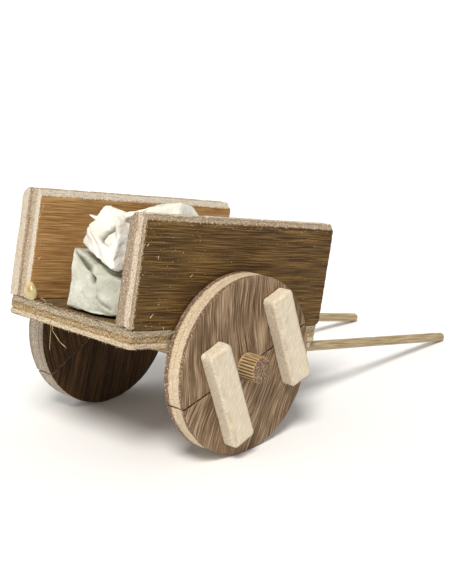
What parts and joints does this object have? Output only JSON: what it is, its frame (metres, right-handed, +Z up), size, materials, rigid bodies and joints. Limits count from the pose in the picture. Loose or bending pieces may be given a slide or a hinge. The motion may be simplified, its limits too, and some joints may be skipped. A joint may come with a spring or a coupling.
{
  "type": "mine cart",
  "caption": "Small wooden mine cart: open plywood bed with two side boards on solid disc wheels with battens, round pull handles and a load of loose stones.",
  "frame": {"origin": "on the ground, in the middle of the cart's length and width, with the cart standing on its two wheels and its two handle tips", "axes": "+X forward, towards the handles; +Y to the cart's left, along the axle; +Z up. The load bed slopes about 12 degrees down towards the front"},
  "size_m": [0.2105, 0.1006, 0.0955],
  "materials": {
    "plywood_floor": "worn plywood, brown faces",
    "plywood_side": "brown stained plywood with pale ply edges",
    "plywood_wheel": "grey-brown plywood with a pale core",
    "dowel": "fluted hardwood dowel",
    "handle_wood": "bare round dowel",
    "batten_wood": "bare pale softwood",
    "stone": "rough pale stone",
    "stone_white": "rough white stone",
    "glue": "yellowed hot-melt glue"
  },
  "bodies": {
    "cart": {"floor_board": "plywood_floor", "side_board_right": "plywood_side", "side_board_left": "plywood_side", "axle": "dowel", "handle_right": "handle_wood", "handle_left": "handle_wood", "glue_corner": "glue", "glue_axle": "glue", "glue_handle_right": "glue", "glue_handle_left": "glue"},
    "wheel_right": {"wheel_right_upper_half": "plywood_wheel", "wheel_right_lower_half": "plywood_wheel", "batten_right_rear": "batten_wood", "batten_right_front": "batten_wood"},
    "wheel_left": {"wheel_left_upper_half": "plywood_wheel", "wheel_left_lower_half": "plywood_wheel", "batten_left_rear": "batten_wood", "batten_left_front": "batten_wood"},
    "stone_block": {"stone_block": "stone"},
    "stone_white": {"stone_white": "stone_white"},
    "stone_grey": {"stone_grey": "stone"}
  },
  "joints": [
    {"name": "wheel_right_spin", "type": "hinge", "parent": "cart", "child": "wheel_right", "pos_m": [-0.05371, -0.038, 0.0333], "axis": [0, 1, 0], "continuous": true},
    {"name": "wheel_left_spin", "type": "hinge", "parent": "cart", "child": "wheel_left", "pos_m": [-0.05371, 0.038, 0.0333], "axis": [0, 1, 0], "continuous": true},
    {"name": "stone_block_lift", "type": "slide", "parent": "cart", "child": "stone_block", "axis": [0, 0, 1], "range_m": [0, 0.06]},
    {"name": "stone_white_lift", "type": "slide", "parent": "stone_block", "child": "stone_white", "axis": [0, 0, 1], "range_m": [0, 0.04]},
    {"name": "stone_grey_lift", "type": "slide", "parent": "cart", "child": "stone_grey", "axis": [0, 0, 1], "range_m": [0, 0.06]}
  ]
}
